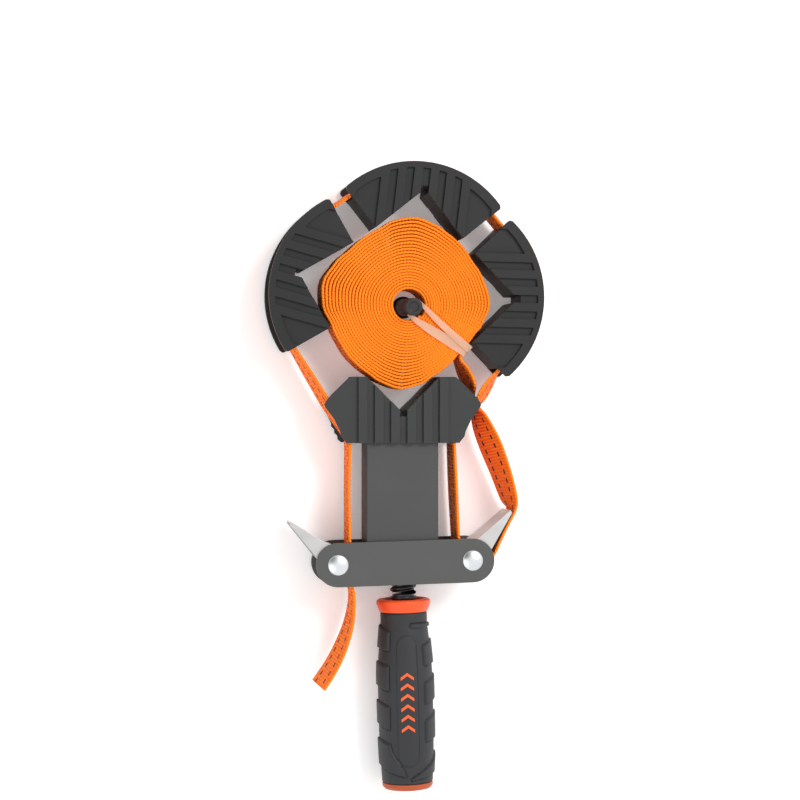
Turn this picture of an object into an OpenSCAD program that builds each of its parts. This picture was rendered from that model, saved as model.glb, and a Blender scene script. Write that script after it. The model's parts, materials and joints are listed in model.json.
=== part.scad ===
// Quick-release band clamp with four corner jaws.
// It lies on its back: +Z is up out of the bench and +Y runs from the handle
// to the top jaw. The crossbar's centre at rest is close to X 0, Y 0.

/* [Band] */
// Width of the webbing
band_w = 25; // [20:1:30]
// Thickness of the webbing
band_t = 1.6; // [1.2:0.1:2]
// Radius of the band's inner face round a loose jaw
band_r = 52.6; // [52:0.2:53]

/* [Jaws] */
// Thickness of the jaws and the head
jaw_h = 33; // [33:0.5:36]
// Half the opening of a loose jaw's notch, from tip to tip
jaw_half = 24.6; // [22:0.2:26]
// Radius of a loose jaw's outer flanges
jaw_r = 59; // [57:0.5:62]
// Distance from the tips' line back to the centre of the outer arc
jaw_back = 19.2; // [18:0.2:20]
// Side of the square relief at the bottom of a notch
relief = 4.2; // [3:0.2:5]
// Spacing of the grip ribs
rib_pitch = 9.1; // [9:0.1:9.4]
// Width of a rib
rib_w = 4.9; // [4.4:0.1:5]
// Height of a rib over the face it stands on
rib_depth = 1.7; // [0.6:0.1:1.8]

/* [Channel] */
// Width of the channel
channel_w = 40.2; // [39:0.2:41]
// Thickness of the channel's steel
channel_t = 2; // [1.6:0.1:2.4]
// Lower end of the channel
channel_low = -9; // [-10:0.5:-6]

/* [Crossbar] */
// Distance between the rivets
rivet_gap = 75.5; // [75:0.5:77]
// Height of the crossbar plates
plate_w = 24.5; // [24:0.5:26]
// Thickness of the crossbar plates
plate_t = 2; // [1.8:0.1:2.2]
// Yaw of the screw and crossbar about the thrust seat, in degrees
screw_yaw = 1.4; // [0:0.1:1.6]

/* [Spindle] */
// Outer radius of the thread
spindle_r = 7.5; // [7:0.1:7.6]
// Pitch of the thread
pitch = 4; // [3:0.5:4]

/* [Handle] */
// Y of the handle's upper end
handle_top = -21; // [-22:0.2:-19]
// Length of the handle with its collar and cap
handle_len = 106.2; // [100:0.2:110]

/* [Levers] */
// Angle of the left lever from +X, in degrees
lever_angle_left = 137; // [136:0.5:142]
// Angle of the right lever from +X, in degrees
lever_angle_right = 52; // [50:0.5:56]
// Length of a lever from its rivet to its point
lever_len = 35.5; // [32:0.5:38]

/* [Hidden] */
$fn = 64;
mid_z = jaw_h / 2;
band_low = mid_z - band_w / 2;
band_top = mid_z + band_w / 2;
gap_half = band_w / 2 + 0.25;
groove_half = band_w / 2 + 0.4;
run_clear = 0.08;
seat_y = 62;
rivet_x = rivet_gap / 2;
channel_half_h = 12.3;
channel_top = mid_z + channel_half_h;
head_low = 66.6;
head_socket_top = 80;
roll_c = [1.8, 144];
hole_r = 9;
peg_pull = -39.5;
band_mid = band_r + band_t / 2;
lay = 0.15;
cam_r = 5.2;
cam_off = 0.8;
run_x = rivet_x - cam_r - cam_off - 0.35 - band_t / 2;
anvil_x = run_x - band_t / 2 - 0.05;
jaw_tip_left = [-34.35, 154.1];
jaw_tip_top = [9.1, 183.3];
jaw_tip_right = [39.7, 147.6];
jaw_dir_left = 164.6;
jaw_dir_top = 83.3;
jaw_dir_right = -1.2;

// ---- helpers ----

function polar(c, r, a) = [c[0] + r * cos(a), c[1] + r * sin(a)];
function arc(c, r, a0, a1, step = 4) =
  let (n = max(2, ceil(abs(a1 - a0) / step)))
  [for (i = [0:n]) polar(c, r, a0 + (a1 - a0) * i / n)];
function unit(v) = v / norm(v);
function heading(p, i) =
  unit(p[min(i + 1, len(p) - 1)] - p[max(i - 1, 0)]);
function beside(p, d) =
  [for (i = [0:len(p) - 1]) p[i] + d * [-heading(p, i)[1], heading(p, i)[0]]];
function reversed(p) = [for (i = [len(p) - 1:-1:0]) p[i]];
function arc_centre(tip, dir) = polar(tip, -jaw_back, dir);

// A band standing on edge along a plan path.
module band(path) {
  translate([0, 0, band_low])
    linear_extrude(band_w)
      polygon(concat(beside(path, band_t / 2),
        reversed(beside(path, -band_t / 2))));
}

// A band that leans while it runs. Its stations are
// [x, y, z, heading, lean, width].
function across(s) =
  [-sin(s[3]) * sin(s[4]), cos(s[3]) * sin(s[4]), cos(s[4])];
function through(s) =
  [-sin(s[3]) * cos(s[4]), cos(s[3]) * cos(s[4]), -sin(s[4])];
function corners(s) =
  let (m = [s[0], s[1], s[2]], a = across(s) * s[5] / 2,
    b = through(s) * band_t / 2)
  [m - a - b, m + a - b, m + a + b, m - a + b];

module leaning_band(stations) {
  n = len(stations);
  points = [for (s = stations) each corners(s)];
  sides = [for (i = [0:n - 2]) for (k = [0:3])
    each [[4 * i + k, 4 * i + (k + 1) % 4, 4 * i + 4 + k],
          [4 * i + (k + 1) % 4, 4 * i + 4 + (k + 1) % 4, 4 * i + 4 + k]]];
  last = 4 * n - 4;
  polyhedron(points, concat(
    [[3, 2, 1, 0], [last, last + 1, last + 2, last + 3]], sides
  ), convexity = 6);
}

// Smooth stations through a few hand-placed ones (Catmull-Rom).
function cr(a, b, c, d, t) = 0.5 * (2 * b + (c - a) * t
  + (2 * a - 5 * b + 4 * c - d) * t * t
  + (3 * b - a - 3 * c + d) * t * t * t);
function smooth_path(p, n) = concat(
  [for (i = [0:len(p) - 2]) for (k = [0:n - 1])
    cr(p[max(i - 1, 0)], p[i], p[i + 1], p[min(i + 2, len(p) - 1)], k / n)],
  [p[len(p) - 1]]);

// The screw, crossbar and handle stand at a slight yaw to the channel.
module yawed() {
  translate([0, seat_y, 0])
    rotate(screw_yaw)
      translate([0, -seat_y, 0])
        children();
}

// A solid of revolution about the spindle's axis. Its profile's points are
// [radius, distance from the crossbar towards the handle].
module turned(profile) {
  yawed()
    translate([0, 0, mid_z])
      rotate([90, 0, 0])
        rotate_extrude()
          polygon(profile);
}

// Sinks both faces by a rib's height inside an outline, leaving six ribs.
module sunk_faces() {
  for (z = [-1, jaw_h - rib_depth])
    translate([0, 0, z])
      linear_extrude(rib_depth + 1)
        difference() {
          children();
          for (i = [0:2], side = [-1, 1])
            translate([side * rib_pitch * (i + 0.5) - rib_w / 2, -10])
              square([rib_w, 130]);
        }
}

// ---- loose jaws ----

module jaw_outline() {
  apex = jaw_half;
  corner = 44.1;
  wide = 70;
  difference() {
    intersection() {
      translate([0, -jaw_back])
        circle(jaw_r, $fn = 160);
      polygon([[jaw_half, 0], [wide, wide - jaw_half],
        [-wide, wide - jaw_half], [-jaw_half, 0], [0, apex]]);
    }
    translate([-relief / 2, apex - relief])
      square([relief, relief + 2]);
    for (side = [0, 1])
      mirror([side, 0])
        translate([corner, corner - jaw_half])
          rotate(45)
            difference() {
              translate([-1.4, -1])
                square([3, 2.4]);
              translate([-1.4, 1.4])
                circle(1.4);
            }
  }
}

// The face inside the rim. The rim is wider beside the end fields.
module sunk_area() {
  edge = rib_pitch * 2.5 + rib_w / 2;
  for (part = [[edge, 3.5], [38.6, 5.4]])
    intersection() {
      translate([0, -jaw_back])
        circle(jaw_r - part[1], $fn = 160);
      translate([-part[0], -1])
        square([2 * part[0], 60]);
    }
}

module loose_jaw() {
  difference() {
    linear_extrude(jaw_h)
      jaw_outline();
    translate([0, -jaw_back, mid_z - groove_half])
      difference() {
        cylinder(r = jaw_r + 5, h = 2 * groove_half);
        translate([0, 0, -1])
          cylinder(r = band_r - 0.8, h = 2 * groove_half + 2, $fn = 160);
      }
    sunk_faces()
      sunk_area();
  }
}

module placed_jaw(tip, dir) {
  color("#232426")
    translate([tip[0], tip[1], 0])
      rotate(dir - 90)
        loose_jaw();
}

module jaw_left() {
  placed_jaw(jaw_tip_left, jaw_dir_left);
}

module jaw_top() {
  placed_jaw(jaw_tip_top, jaw_dir_top);
}

module jaw_right() {
  placed_jaw(jaw_tip_right, jaw_dir_right);
}

// ---- head ----

// One half of the front flange's outline, and of the rear one's, which is
// smaller at its corner and stepped below it.
head_front = [[31.6, 66.6], [34.6, 70.4], [35.2, 73.2], [38.4, 79.8],
  [43.2, 86.2], [43.9, 87.8], [43.5, 89.2], [40.1, 93.4], [30.2, 103],
  [29, 103.4], [20.4, 103.4]];
head_rear = [[31.6, 66.6], [33.6, 68.4], [33.6, 70.2], [35.4, 72],
  [35.4, 73.8], [37.2, 75.6], [37.2, 77.4], [40.6, 84], [41, 87.2],
  [40, 89.8], [28.4, 101.4], [26, 103.4], [20.4, 103.4]];

module head_outline(half) {
  difference() {
    polygon(concat([for (p = half) [-p[0], p[1]]], [[0, 83]],
      reversed(half)));
    translate([-relief / 2, 81.4])
      square([relief, 2 * relief]);
  }
}

// The band lies in a groove along each side of the head.
module head_groove() {
  for (side = [0, 1])
    mirror([side, 0])
      polygon([[28.2, 60], [50, 60], [50, 110], [27, 110], [30.2, 98.4],
        [36.8, 89.6], [37.4, 86.4], [37.2, 82.6], [30, 71.8], [28.2, 68]]);
}

module head_jaw() {
  color("#232426")
    difference() {
      union() {
        linear_extrude(mid_z)
          head_outline(head_rear);
        translate([0, 0, mid_z - 1])
          linear_extrude(mid_z + 1)
            head_outline(head_front);
      }
      translate([0, 0, mid_z - groove_half])
        linear_extrude(2 * groove_half)
          head_groove();
      translate([-channel_w / 2 - 0.05, 60, mid_z - channel_half_h - 0.05])
        cube([channel_w + 0.1, head_socket_top - 60 + 0.05,
          2 * channel_half_h + 0.1]);
      sunk_faces()
        translate([-60, 60])
          square([120, 60]);
      for (x = [-13, 13])
        translate([x, 75, -1])
          cylinder(r = 2.55, h = 7);
    }
}

// ---- channel and thrust seat ----

module channel() {
  inner = channel_w / 2 - channel_t;
  color("#2a2b2d")
    difference() {
      translate([-channel_w / 2, channel_low, mid_z - channel_half_h])
        cube([channel_w, head_socket_top - channel_low, 2 * channel_half_h]);
      translate([-inner, channel_low - 1, mid_z - channel_half_h - 1])
        cube([2 * inner, head_socket_top - channel_low + 2,
          2 * channel_half_h + 1 - channel_t]);
    }
}

module thrust_seat() {
  half = channel_w / 2 - channel_t - 0.05;
  low = mid_z - channel_half_h;
  color("#6b6d70")
    difference() {
      translate([-half, seat_y - 6, low])
        cube([2 * half, head_socket_top - seat_y + 5.9,
          2 * channel_half_h - channel_t - 0.05]);
      yawed()
        translate([0, seat_y, mid_z])
          rotate([90, 0, 0])
            translate([0, 0, -run_clear])
              cylinder(r = 4 + run_clear, h = 12);
      for (x = [-13, 13])
        translate([x, 75, low - 1])
          cylinder(r = 2.5, h = 13);
    }
}

module head_pin(x) {
  color("#b9bcc0")
    translate([x, 75, 0.6])
      cylinder(r = 2.5, h = 13);
}

module head_pin_left() {
  head_pin(-13);
}

module head_pin_right() {
  head_pin(13);
}

// ---- crossbar ----

module plate_outline() {
  difference() {
    union() {
      translate([-rivet_x, -plate_w / 2])
        square([rivet_gap, plate_w]);
      for (x = [-rivet_x, rivet_x])
        translate([x, 0])
          circle(plate_w / 2);
    }
    for (x = [-rivet_x, rivet_x])
      translate([x, 0])
        circle(3);
  }
}

module plate(z) {
  color("#26272a")
    yawed()
      translate([0, 0, z])
        linear_extrude(plate_t)
          plate_outline();
}

module plate_front() {
  plate(mid_z + gap_half);
}

module plate_rear() {
  difference() {
    plate(mid_z - gap_half - plate_t);
    yawed()
      for (x = [-8.5, 8.5])
        translate([x, 0, 0])
          cylinder(r = 2, h = 10);
  }
}

module spindle_nut() {
  low = mid_z - gap_half;
  color("#8f9296")
    yawed()
      difference() {
        translate([-14, -9, low])
          cube([28, 18, channel_top - channel_t - 0.4 - low]);
        translate([0, 20, mid_z])
          rotate([90, 0, 0])
            cylinder(r = spindle_r + run_clear, h = 40);
        for (x = [-10.5, 10.5])
          translate([x, 0, low - 1])
            cylinder(r = 1.2, h = 5);
      }
}

module nut_screws() {
  low = mid_z - gap_half;
  color("#b9bcc0")
    yawed()
      for (x = [-10.5, 10.5])
        translate([x, 0, low])
          cylinder(r = 1.2, h = 3.8);
}

// A domed rivet head on the front plate and a low one on the rear plate.
module rivet(x) {
  head_h = mid_z - gap_half - plate_t;
  color("#c9cdd2")
    yawed()
      translate([x, 0, mid_z])
        rotate_extrude()
          polygon([[0, -mid_z], [4, -mid_z], [5.2, 0.6 - mid_z],
            [5.75, head_h - mid_z], [3, head_h - mid_z],
            [3, mid_z - head_h], [5.75, mid_z - head_h],
            [5.2, mid_z - 0.6], [4, mid_z - 0.15], [2, mid_z], [0, mid_z]]);
}

module rivet_left() {
  rivet(-rivet_x);
}

module rivet_right() {
  rivet(rivet_x);
}

// The band is pinched between a cam and its anvil.
module anvil(side) {
  color("#55585c")
    yawed()
      translate([side > 0 ? anvil_x - 5 : -anvil_x, -8, mid_z - gap_half])
        cube([5, 16, 2 * gap_half]);
}

module anvil_left() {
  anvil(-1);
}

module anvil_right() {
  anvil(1);
}

// ---- release levers ----

// Drawn along +X with the rivet at the origin. The web is on the -Y side.
module lever_outline() {
  polygon([[0, -6], [9.5, -6.2], [13.5, -4.5], [lever_len, 0],
    [lever_len - 0.8, 1.8], [12, 5], [0, 5.2]]);
  circle(5.6);
}

module lever(x, angle, flip) {
  half = gap_half - 0.5;
  color("#c4c7cb")
    yawed()
      translate([x, 0, mid_z])
        rotate(angle - screw_yaw)
          mirror([0, flip, 0])
            difference() {
              translate([0, 0, -half])
                linear_extrude(2 * half)
                  difference() {
                    union() {
                      lever_outline();
                      translate(polar([0, 0], cam_off, 172))
                        circle(cam_r);
                    }
                    circle(3 + run_clear);
                  }
              translate([0, 0, 1.6 - half])
                linear_extrude(2 * half - 3.2)
                  polygon([[7.5, -4.8], [9.4, -4.8], [13, -3.4],
                    [lever_len - 3, 0.4], [lever_len + 4, 1.9],
                    [lever_len + 4, 16], [7.5, 16]]);
              translate([-10, -5.2, -5])
                cube([17.5, 20, 10]);
            }
}

module lever_left() {
  lever(-rivet_x, lever_angle_left, 0);
}

module lever_right() {
  lever(rivet_x, lever_angle_right, 1);
}

// A coil round the rivet in the notch at the middle of the lever.
module lever_spring(x) {
  color("#9a9da1")
    yawed()
      translate([x, 0, mid_z])
        rotate_extrude()
          for (z = [-3.3:1.1:3.3])
            translate([4.2, z])
              circle(0.6, $fn = 24);
}

module lever_spring_left() {
  lever_spring(-rivet_x);
}

module lever_spring_right() {
  lever_spring(rivet_x);
}

// ---- spindle and handle ----

// Ridges stand for the screw thread.
module spindle() {
  low = handle_top - 60;
  high = seat_y - 7;
  first = handle_top + 1.8;
  ridges = floor((high - first - 2) / pitch);
  core = spindle_r - 1.4;
  color("#1d1e20")
  difference() {
    turned(concat(
      [[0, -low], [core, -low]],
      [for (i = [0:ridges - 1]) each [
        [core, -(first + pitch * i)],
        [spindle_r, -(first + pitch * (i + 0.3))],
        [spindle_r, -(first + pitch * (i + 0.6))],
        [core, -(first + pitch * (i + 0.9))]]],
      [[core, -high], [4, -high], [4, -seat_y], [0, -seat_y]]
    ));
    pin_hole();
  }
}

module thrust_ring() {
  color("#9a9da1")
    turned([[spindle_r - 1.3, -handle_top - 0.1], [7.6, -handle_top - 0.1],
      [7.6, -handle_top - 1.4], [spindle_r - 1.3, -handle_top - 1.4]]);
}

module handle_core() {
  top = handle_top - 7.2;
  low = handle_top - handle_len + 4.2;
  core = spindle_r - 1.4;
  color("#3a3b3d")
    difference() {
      turned([[core, -top], [10, -top], [10, -low], [0, -low],
        [0, -handle_top + 60], [core, -handle_top + 60]]);
      pin_hole();
    }
}

module pin_hole() {
  yawed()
    translate([0, handle_top - 50, 0])
      cylinder(r = 1.55, h = jaw_h);
}

module handle_pin() {
  color("#9a9da1")
    yawed()
      translate([0, handle_top - 50, mid_z - 9])
        cylinder(r = 1.5, h = 18);
}

module handle_collar() {
  core = spindle_r - 1.4;
  color("#f0561c")
    turned([[core, 1.6 - handle_top], [10.8, 1.6 - handle_top],
      [12, -handle_top], [13.8, -handle_top],
      [15.1, 0.9 - handle_top], [15.2, 2.6 - handle_top],
      [13.5, 7.1 - handle_top], [core, 7.1 - handle_top]]);
}

// Radius of the grip at a distance below the handle's upper end.
grip_stations = [[7.2, 13.1], [14.4, 13.2], [24, 14.1], [38, 15.2],
  [50, 15.4], [62, 15.4], [74, 15.3], [86, 15.1], [95, 14.6],
  [102.6, 14.3]];

module grip_sleeve() {
  color("#202124")
    turned(concat(
      [[10, 7.2 - handle_top]],
      [for (s = grip_stations) [s[1], s[0] - handle_top]],
      [[10, 102.6 - handle_top]]
    ));
}

module end_cap() {
  low = handle_len - handle_top;
  color("#f0561c")
    turned([[0, low - 4.1], [10, low - 4.1], [10, low - 3.5],
      [14.2, low - 3.5], [14.2, low - 1.6], [12.8, low], [0, low]]);
}

// ---- webbing ----

centre_left = arc_centre(jaw_tip_left, jaw_dir_left);
centre_top = arc_centre(jaw_tip_top, jaw_dir_top);
centre_right = arc_centre(jaw_tip_right, jaw_dir_right);

// Direction of the outward normal of the straight between two arc centres.
function out_angle(a, b) =
  (atan2(b[1] - a[1], b[0] - a[0]) + 270) % 360;

// From the head's right foot, round the loose jaws, to its left foot.
round_path = concat(
  [[29.3, head_low + lay], [29.4, 68.2], [31.1, 71.2], [38.4, 82.2],
    [42.9, 90.2]],
  arc(centre_right, band_mid, -38, out_angle(centre_right, centre_top)),
  arc(centre_top, band_mid, out_angle(centre_right, centre_top),
    out_angle(centre_top, centre_left)),
  arc(centre_left, band_mid, out_angle(centre_top, centre_left), 211),
  [[-43.2, 91], [-38.4, 82.2], [-31.1, 71.2], [-29.4, 68.2],
    [-29.3, head_low + lay]]
);

// The lower half is open where the loose loop crosses underneath.
module band_round_jaws() {
  color("#ff7a14")
    difference() {
      band(round_path);
      translate([37.5, 84, band_low - 1])
        cube([9.4, 11.4, mid_z - band_low + 1]);
    }
}

module band_run_left() {
  color("#ff7a14")
    band([[-29.3, head_low - lay], [-29.4, 11.6]]);
}

module band_run_right() {
  color("#ff7a14")
    band([[29.3, head_low - lay], [31.8, 13]]);
}

// The free end of the band below the left cam.
tail_points = [
  [-run_x, 12, mid_z, -90, 0, band_w], [-run_x, -7, mid_z, -88, 0, band_w],
  [-29.9, -11.5, mid_z, -78, 0, band_w], [-29, -18, mid_z, -89, 0, band_w],
  [-29.6, -26, mid_z, -98, 2, band_w], [-31.8, -36, mid_z, -107, 5, band_w],
  [-36, -47, mid_z - 0.4, -115, 8, band_w],
  [-41.8, -58, mid_z - 0.8, -121, 10, band_w],
  [-48.8, -68, mid_z - 1, -127, 11, band_w]
];

module band_tail() {
  color("#ff7a14")
    yawed()
      leaning_band(smooth_path(tail_points, 4));
}

// Round the right cam and out of the crossbar's end.
return_path = concat(
  [[run_x, 12], [run_x, 4]],
  arc([rivet_x, 0], rivet_x - run_x, 180, 318, 10),
  [[47.8, -1.4], [51.8, 5.4]]
);

module band_return() {
  color("#ff7a14")
    yawed()
      band(return_path);
}

// The loose loop: outside the right lever, up to the head's corner, under
// the working band and on to the roll.
loop_points = [
  [53.4, 6.8, mid_z, 61, 0, band_w], [59.4, 17.6, mid_z, 66, 0, band_w],
  [63.8, 28.2, mid_z, 82, 0, band_w], [62.2, 38, mid_z, 102, -7, band_w],
  [56.8, 52, mid_z, 110, -12, band_w], [51.4, 66, mid_z, 110, -15, band_w],
  [46.4, 78.6, mid_z - 1, 110, -15, 22], [44.9, 84, mid_z - 4, 106, -8, 16],
  [43.4, 88.4, mid_z - 6.6, 106, 0, 11], [41.6, 92.6, mid_z - 5, 106, 0, 15],
  [39.6, 98, mid_z - 1, 108, 0, 22], [37.4, 103.6, mid_z, 111, -4, band_w],
  [34.6, 109, mid_z, 108, -2, band_w], [33.4, 112, mid_z, 88, 0, band_w],
  [33.6, 114.4, mid_z, 60, 0, band_w]
];

module band_loop() {
  color("#ff7a14")
    leaning_band(smooth_path(loop_points, 4));
}

// Outline of the roll, squeezed by the four notches: [direction, radius].
roll_shape = [[0, 48], [20, 46.4], [33, 45.2], [46, 46.2], [58, 46.8],
  [70, 48.2], [83, 49.6], [97, 48.2], [110, 45.2], [124, 44.6], [136, 44.4],
  [150, 46.8], [165, 49.4], [181, 48], [197, 44.4], [210, 44], [226, 44.8],
  [240, 45.6], [252, 47.6], [266, 49.4], [280, 47.4], [293, 44.3],
  [306, 43], [317, 42], [326, 41.6], [335, 42.5], [346, 45.3]];

module roll_outline(scale_to = 1) {
  points = [for (s = roll_shape) [s[0], s[1]]];
  ring = concat([points[len(points) - 1] - [360, 0]], points,
    [points[0] + [360, 0], points[1] + [360, 0]]);
  polygon([for (i = [1:len(points)]) for (k = [0:3])
    let (s = cr(ring[i - 1], ring[i], ring[i + 1], ring[i + 2], k / 4))
    polar([0, 0], s[1] * scale_to, s[0])]);
}

module band_roll() {
  color("#ff7a14")
    translate([roll_c[0], roll_c[1], band_low])
      difference() {
        linear_extrude(band_w)
          roll_outline();
        translate([0, 0, -1])
          cylinder(r = hole_r, h = band_w + 2);
      }
}

// ---- storage peg ----

// The retaining band pulls the peg over to one side of the roll's eye.
module storage_peg() {
  color("#1f2022")
    translate([roll_c[0], roll_c[1], 0.35])
      rotate(peg_pull)
        translate([2.3, 0.7, 0])
          rotate([0, 2.4, 0])
            rotate_extrude()
              polygon([[0, 0], [6.3, 0], [6.3, 2.4], [4.9, 3], [4.9, 28.8],
                [4.2, 29], [4.2, 30.8], [4.9, 31], [4.9, 36.2], [4.5, 36.6],
                [2.8, 36.6], [2.5, 36], [0, 36]]);
}

// A flat elastic loop from the peg's neck over the roll's rim and under it.
module retaining_band() {
  color("#f6c9a8")
    translate([roll_c[0], roll_c[1], 0])
      rotate(peg_pull)
        difference() {
          translate([8.5, -2.2, 1.4])
            cube([36.1, 7.7, 28.8]);
          translate([8, -3, 2.2])
            cube([35.8, 10, 27.2]);
          translate([8, -3, 1])
            cube([2.3, 10, 2]);
        }
}

head_jaw();
channel();
thrust_seat();
head_pin_left();
head_pin_right();
jaw_left();
jaw_top();
jaw_right();
band_round_jaws();
band_run_left();
band_run_right();
band_tail();
band_return();
band_loop();
band_roll();
storage_peg();
retaining_band();
plate_front();
plate_rear();
spindle_nut();
nut_screws();
rivet_left();
rivet_right();
anvil_left();
anvil_right();
lever_left();
lever_right();
lever_spring_left();
lever_spring_right();
spindle();
thrust_ring();
handle_core();
handle_collar();
grip_sleeve();
end_cap();
handle_pin();
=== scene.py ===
"""A quick-release band clamp with loose corner jaws, lying on a pale table.

Lengths are in millimetres in this script, and metres once a mesh is made.
"""
import json
import math

import bmesh
import bpy
from mathutils import Matrix, Vector


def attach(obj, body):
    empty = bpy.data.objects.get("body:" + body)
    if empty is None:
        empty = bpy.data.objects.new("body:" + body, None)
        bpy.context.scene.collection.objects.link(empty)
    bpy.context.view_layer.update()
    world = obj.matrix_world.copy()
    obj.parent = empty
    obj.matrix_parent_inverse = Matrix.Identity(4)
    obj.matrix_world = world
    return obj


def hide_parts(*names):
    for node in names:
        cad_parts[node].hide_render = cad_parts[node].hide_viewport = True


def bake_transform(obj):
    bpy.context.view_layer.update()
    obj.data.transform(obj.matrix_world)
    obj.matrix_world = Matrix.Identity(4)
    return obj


MM = 0.001
SHARP_EDGE = math.radians(30)

# ---- sizes shared with the frame ----
MID_Z = 16.5
BAND_W = 25.0
BAND_T = 1.4
SEAT_Y = 62.0
SCREW_YAW = math.radians(1.4)
RIVET_X = 37.75
RUN_X = 30.6
HEAD_LOW = 66.6
BAND_R = 53.4
JAW_BACK = 19.2
JAWS = {
    "jaw_left": ((-34.35, 154.1), 164.6),
    "jaw_top": ((9.1, 183.3), 83.3),
    "jaw_right": ((39.7, 147.6), -1.2),
}
ROLL = (1.8, 144.0)
ROLL_TURNS = 23
EYE_R = 8.8
# The roll's outline: directions in degrees and radii.
ROLL_SHAPE = [
    (0, 48), (20, 46.4), (33, 45.2), (46, 46.2), (58, 46.8), (70, 48.2),
    (83, 49.6), (97, 48.2), (110, 45.2), (124, 44.6), (136, 44.4),
    (150, 46.8), (165, 49.4), (181, 48), (197, 44.4), (210, 44), (226, 44.8),
    (240, 45.6), (252, 47.6), (266, 49.4), (280, 47.4), (293, 44.3),
    (306, 43), (317, 42), (326, 41.6), (335, 42.5), (346, 45.3), (360, 48),
]
PEG_PULL = math.radians(-39.5)
HANDLE_TOP = 21.0
# How far the label panel is turned from straight up, in degrees.
LABEL_TURN = 3.5
# One degree round the grip, in millimetres.
PER_DEGREE = 0.26
PITCH = 4.0

# The webbing's orange, and a shaded orange used both as painted shade in the rib
# troughs and for random mottle.
ORANGE = (1.0, 0.235, 0.008)
ORANGE_SHADE_AND_MOTTLE = (0.90, 0.115, 0.004)


# ---- shader helpers ----

def new_material(name, color, roughness, metallic=0.0, **inputs):
    """A material, its node tree and its Principled shader."""
    mat = bpy.data.materials.new(name)
    mat.use_nodes = True
    tree = mat.node_tree
    shader = tree.nodes["Principled BSDF"]
    shader.inputs["Base Color"].default_value = (*color, 1)
    shader.inputs["Roughness"].default_value = roughness
    shader.inputs["Metallic"].default_value = metallic
    for key, value in inputs.items():
        shader.inputs[key.replace("_", " ")].default_value = value
    return mat, tree, shader


def add_node(tree, kind, **settings):
    node = tree.nodes.new(kind)
    for key, value in settings.items():
        if key in node.inputs:
            node.inputs[key].default_value = value
        else:
            setattr(node, key, value)
    return node


def math_node(tree, operation, a, b=None, clamp=False):
    node = tree.nodes.new("ShaderNodeMath")
    node.operation = operation
    node.use_clamp = clamp
    for i, value in enumerate((a, b)):
        if value is None:
            continue
        if isinstance(value, (int, float)):
            node.inputs[i].default_value = value
        else:
            tree.links.new(value, node.inputs[i])
    return node.outputs[0]


def group_tree(name, inputs, outputs):
    tree = bpy.data.node_groups.new(name, "ShaderNodeTree")
    for label, kind, value in inputs:
        socket = tree.interface.new_socket(
            name=label, in_out="INPUT", socket_type=kind)
        if value is not None:
            socket.default_value = value
    for label, kind in outputs:
        tree.interface.new_socket(name=label, in_out="OUTPUT", socket_type=kind)
    return (tree, tree.nodes.new("NodeGroupInput"),
            tree.nodes.new("NodeGroupOutput"))


def surface_grain():
    """Mottle, fine grain and pale rubbed patches for moulded and coated pieces."""
    tree, src, out = group_tree(
        "surface_grain",
        [("Color", "NodeSocketColor", (0.5, 0.5, 0.5, 1)),
         ("Worn Color", "NodeSocketColor", (0.5, 0.5, 0.5, 1)),
         ("Scale", "NodeSocketFloat", 900.0),
         ("Mottle", "NodeSocketFloat", 0.2),
         ("Roughness", "NodeSocketFloat", 0.5)],
        [("Color", "NodeSocketColor"), ("Roughness", "NodeSocketFloat"),
         ("Height", "NodeSocketFloat")])
    place = add_node(tree, "ShaderNodeTexCoord").outputs["Object"]
    fine = add_node(tree, "ShaderNodeTexNoise", Detail=3.0, Roughness=0.6)
    broad = add_node(tree, "ShaderNodeTexNoise", Scale=38.0, Detail=4.0)
    for tex in (fine, broad):
        tree.links.new(place, tex.inputs["Vector"])
    tree.links.new(src.outputs["Scale"], fine.inputs["Scale"])
    # A smear of pale handling marks, strongest where the broad noise peaks.
    rub = math_node(tree, "MULTIPLY",
                    math_node(tree, "SUBTRACT", broad.outputs["Fac"], 0.5),
                    src.outputs["Mottle"])
    rub = math_node(tree, "MULTIPLY", rub, 2.0, clamp=True)
    speck = math_node(tree, "MULTIPLY", math_node(
        tree, "SUBTRACT", fine.outputs["Fac"], 0.56), 1.3, clamp=True)
    mask = math_node(tree, "ADD", rub, math_node(
        tree, "MULTIPLY", speck, src.outputs["Mottle"]), clamp=True)
    mix = add_node(tree, "ShaderNodeMix", data_type="RGBA")
    tree.links.new(mask, mix.inputs["Factor"])
    tree.links.new(src.outputs["Color"], mix.inputs["A"])
    tree.links.new(src.outputs["Worn Color"], mix.inputs["B"])
    tree.links.new(mix.outputs["Result"], out.inputs["Color"])
    rough = math_node(tree, "ADD", src.outputs["Roughness"], math_node(
        tree, "MULTIPLY",
        math_node(tree, "SUBTRACT", broad.outputs["Fac"], 0.5), 0.22))
    tree.links.new(rough, out.inputs["Roughness"])
    tree.links.new(fine.outputs["Fac"], out.inputs["Height"])
    return tree


def coated(name, color, worn, roughness, scale, depth, mottle=0.25, **inputs):
    """A moulded or coated finish built on the surface_grain group."""
    mat, tree, shader = new_material(name, color, roughness, **inputs)
    grain = tree.nodes.new("ShaderNodeGroup")
    grain.node_tree = GRAIN
    grain.inputs["Color"].default_value = (*color, 1)
    grain.inputs["Worn Color"].default_value = (*worn, 1)
    grain.inputs["Scale"].default_value = scale
    grain.inputs["Mottle"].default_value = mottle
    grain.inputs["Roughness"].default_value = roughness
    bump = add_node(tree, "ShaderNodeBump", Strength=0.5, Distance=depth)
    tree.links.new(grain.outputs["Color"], shader.inputs["Base Color"])
    tree.links.new(grain.outputs["Roughness"], shader.inputs["Roughness"])
    tree.links.new(grain.outputs["Height"], bump.inputs["Height"])
    tree.links.new(bump.outputs["Normal"], shader.inputs["Normal"])
    return mat


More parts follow.
